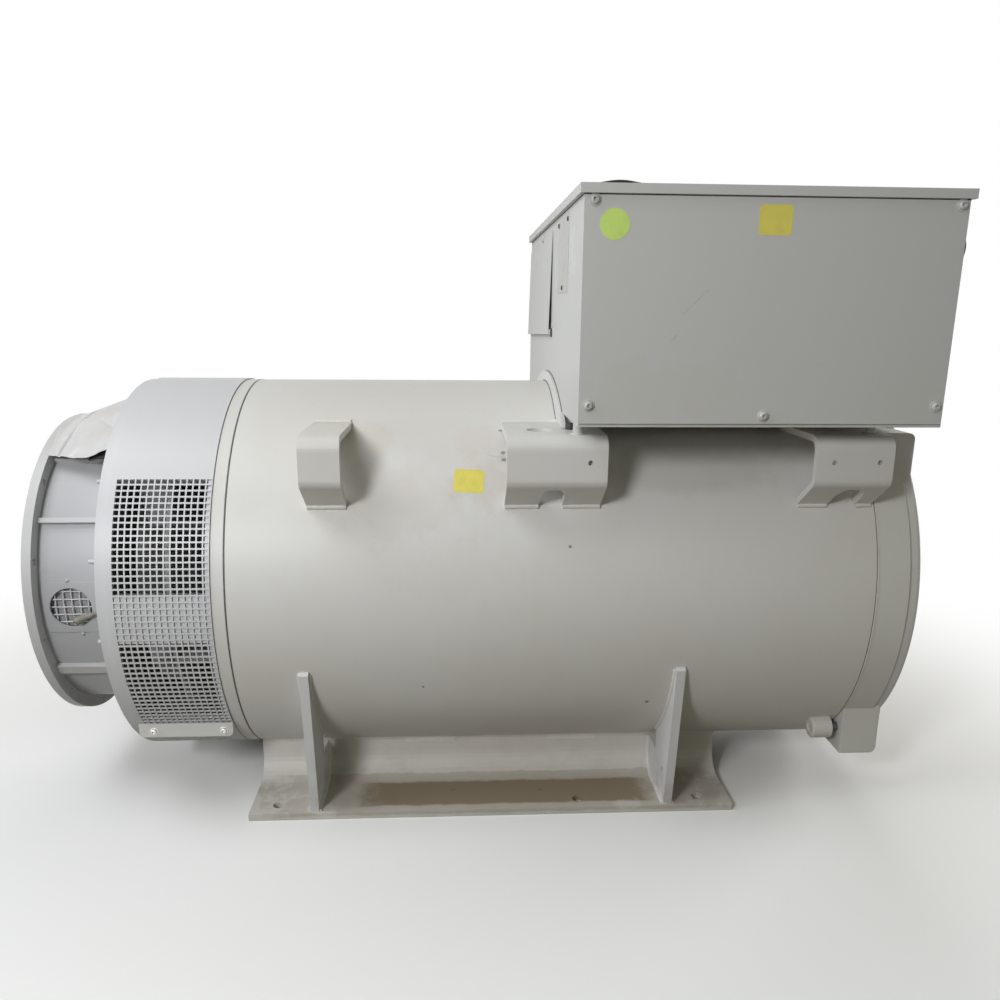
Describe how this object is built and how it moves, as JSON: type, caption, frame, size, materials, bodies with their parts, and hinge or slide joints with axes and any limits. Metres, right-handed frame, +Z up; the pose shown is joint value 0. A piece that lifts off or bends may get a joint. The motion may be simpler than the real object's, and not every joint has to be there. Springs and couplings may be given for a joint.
{
  "type": "industrial alternator",
  "caption": "Single-bearing foot-mounted alternator with a bolted drive flange, screened air outlet, lifting brackets and a terminal box on top.",
  "frame": {"origin": "on the floor under the middle of the whole length, below the shaft axis", "axes": "+X along the shaft from the drive flange to the rear end, +Y across to the far side, +Z up"},
  "size_m": [1.7804, 0.978, 1.1885],
  "materials": {
    "housing_paint": "light grey machine enamel, slightly dusty",
    "flange_paint": "light grey machine enamel",
    "box_paint": "light grey powder coat",
    "screen_paint": "light grey enamel on perforated sheet",
    "clamp_paint": "light grey enamel, worn",
    "zinc_mesh": "zinc-plated square mesh",
    "zinc_steel": "zinc-plated",
    "machined_steel": "machined, lightly oiled",
    "cast_alloy": "grey primer on the fan",
    "dark_winding": "varnished winding and core",
    "cover_film": "white plastic film",
    "seal_rubber": "black rubber",
    "plain_plate": "bare plate"
  },
  "bodies": {
    "root": {"drive_flange": "flange_paint", "adapter_ribs": "flange_paint", "cover_near_side": "flange_paint", "cover_far_side": "flange_paint", "covers_upper": "flange_paint", "cover_bottom": "flange_paint", "vent_meshes": "zinc_mesh", "window_film": "cover_film", "front_plate": "housing_paint", "outlet_barrel": "housing_paint", "outlet_screen": "screen_paint", "screen_clamp_near": "clamp_paint", "screen_clamp_far": "clamp_paint", "frame_ring": "housing_paint", "shaft_hub": "machined_steel", "coupling_disc": "machined_steel", "fan": "cast_alloy", "stator_frame": "housing_paint", "rear_end_shield": "housing_paint", "inlet_grille": "screen_paint", "exciter": "dark_winding", "bearing_cap": "housing_paint", "foot_near": "housing_paint", "foot_far": "housing_paint", "gusset_front_near": "housing_paint", "gusset_front_far": "housing_paint", "gusset_rear_near": "housing_paint", "gusset_rear_far": "housing_paint", "lifting_lug_near": "housing_paint", "lifting_lug_far": "housing_paint", "box_bracket_front_near": "housing_paint", "box_bracket_front_far": "housing_paint", "box_bracket_rear_near": "housing_paint", "box_bracket_rear_far": "housing_paint", "box_posts": "zinc_steel", "box_saddle": "housing_paint", "box_floor": "box_paint", "box_front_panel": "box_paint", "box_back_panel": "box_paint", "box_drive_panel": "box_paint", "box_rear_panel": "box_paint", "box_seal": "seal_rubber", "box_lid": "box_paint", "access_cover": "box_paint", "rating_plate": "plain_plate"}
  },
  "joints": []
}
